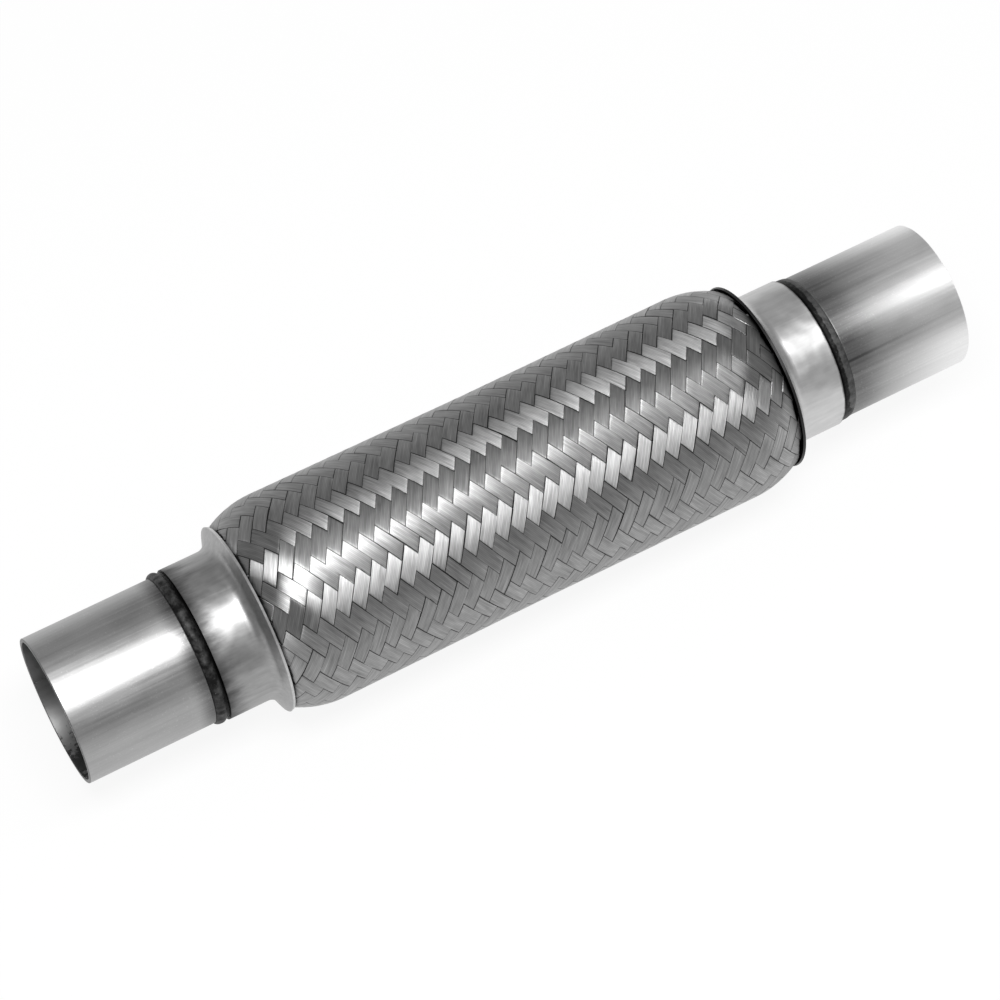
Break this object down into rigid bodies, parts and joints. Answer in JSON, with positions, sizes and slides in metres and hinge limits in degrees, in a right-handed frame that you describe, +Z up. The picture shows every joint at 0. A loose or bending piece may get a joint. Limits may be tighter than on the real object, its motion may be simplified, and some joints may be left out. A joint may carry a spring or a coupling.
{
  "type": "exhaust flex pipe",
  "caption": "Flexible exhaust connector: a woven wire sleeve over a bellows, held by flared collars, with a plain tube welded on at each end.",
  "frame": {"origin": "on the pipe's centreline, midway between the two open ends", "axes": "+X along the pipe from inlet to outlet; the pipe lies on its braid, and +Z is up"},
  "size_m": [0.305, 0.0672, 0.0672],
  "materials": {
    "tube_steel": "rolled tube with fine lengthwise streaks, satin",
    "collar_steel": "pressed sheet, satin, worn on its collar",
    "weld_oxide": "weld metal with a dark oxide skin",
    "braid_wire": "bright drawn wire laid side by side in flat bands",
    "bellows_steel": "thin bright strip",
    "liner_steel": "dull wound strip"
  },
  "bodies": {
    "root": {"inlet_tube": "tube_steel", "outlet_tube": "tube_steel", "inlet_weld_bead": "weld_oxide", "outlet_weld_bead": "weld_oxide", "inlet_end_cap": "collar_steel", "outlet_end_cap": "collar_steel", "outer_braid": "braid_wire", "bellows": "bellows_steel", "liner": "liner_steel"}
  },
  "joints": []
}
